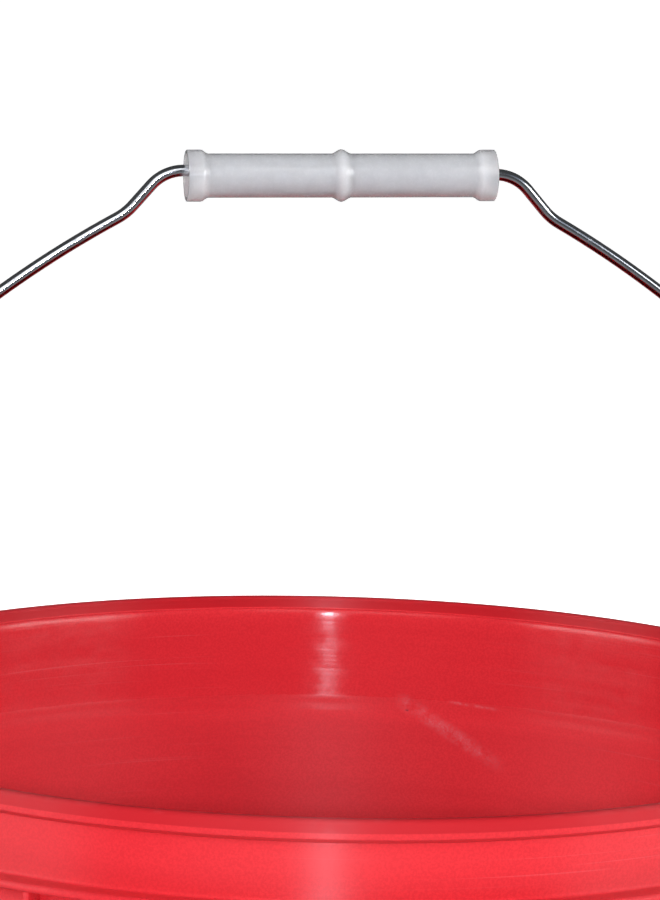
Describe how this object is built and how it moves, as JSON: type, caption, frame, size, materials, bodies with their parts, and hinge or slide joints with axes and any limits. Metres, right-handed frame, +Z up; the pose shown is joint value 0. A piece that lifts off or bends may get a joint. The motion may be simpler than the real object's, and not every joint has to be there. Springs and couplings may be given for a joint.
{
  "type": "wash bucket",
  "caption": "Tapered round plastic wash bucket with a collared rim, a swinging wire bail that hooks into side ears, and a tubular plastic hand grip that spins on the wire.",
  "frame": {"origin": "on the ground, at the centre of the round foot ring", "axes": "+Z up the bucket's own axis; X along the line that the bail pivots about, through the two ears; Y from back to front"},
  "size_m": [0.3288, 0.3116, 0.5176],
  "materials": {
    "bucket_plastic": "glossy red moulded polyethylene with fine scuffs and scratches",
    "bail_steel": "bright zinc-plated drawn steel wire",
    "grip_plastic": "milky, slightly translucent grey-white moulded polyethylene"
  },
  "bodies": {
    "bucket": {"bucket_body": "bucket_plastic"},
    "bail": {"bail_wire": "bail_steel"},
    "grip": {"hand_grip": "grip_plastic"}
  },
  "joints": [
    {"name": "bail_swing", "type": "hinge", "parent": "bucket", "child": "bail", "pos_m": [0, 0, 0.318], "axis": [1, 0, 0], "range_deg": [-128, 128]},
    {"name": "grip_spin", "type": "hinge", "parent": "bail", "child": "grip", "pos_m": [0, 0, 0.51], "axis": [0.9999, 0, 0.0136], "continuous": true}
  ]
}
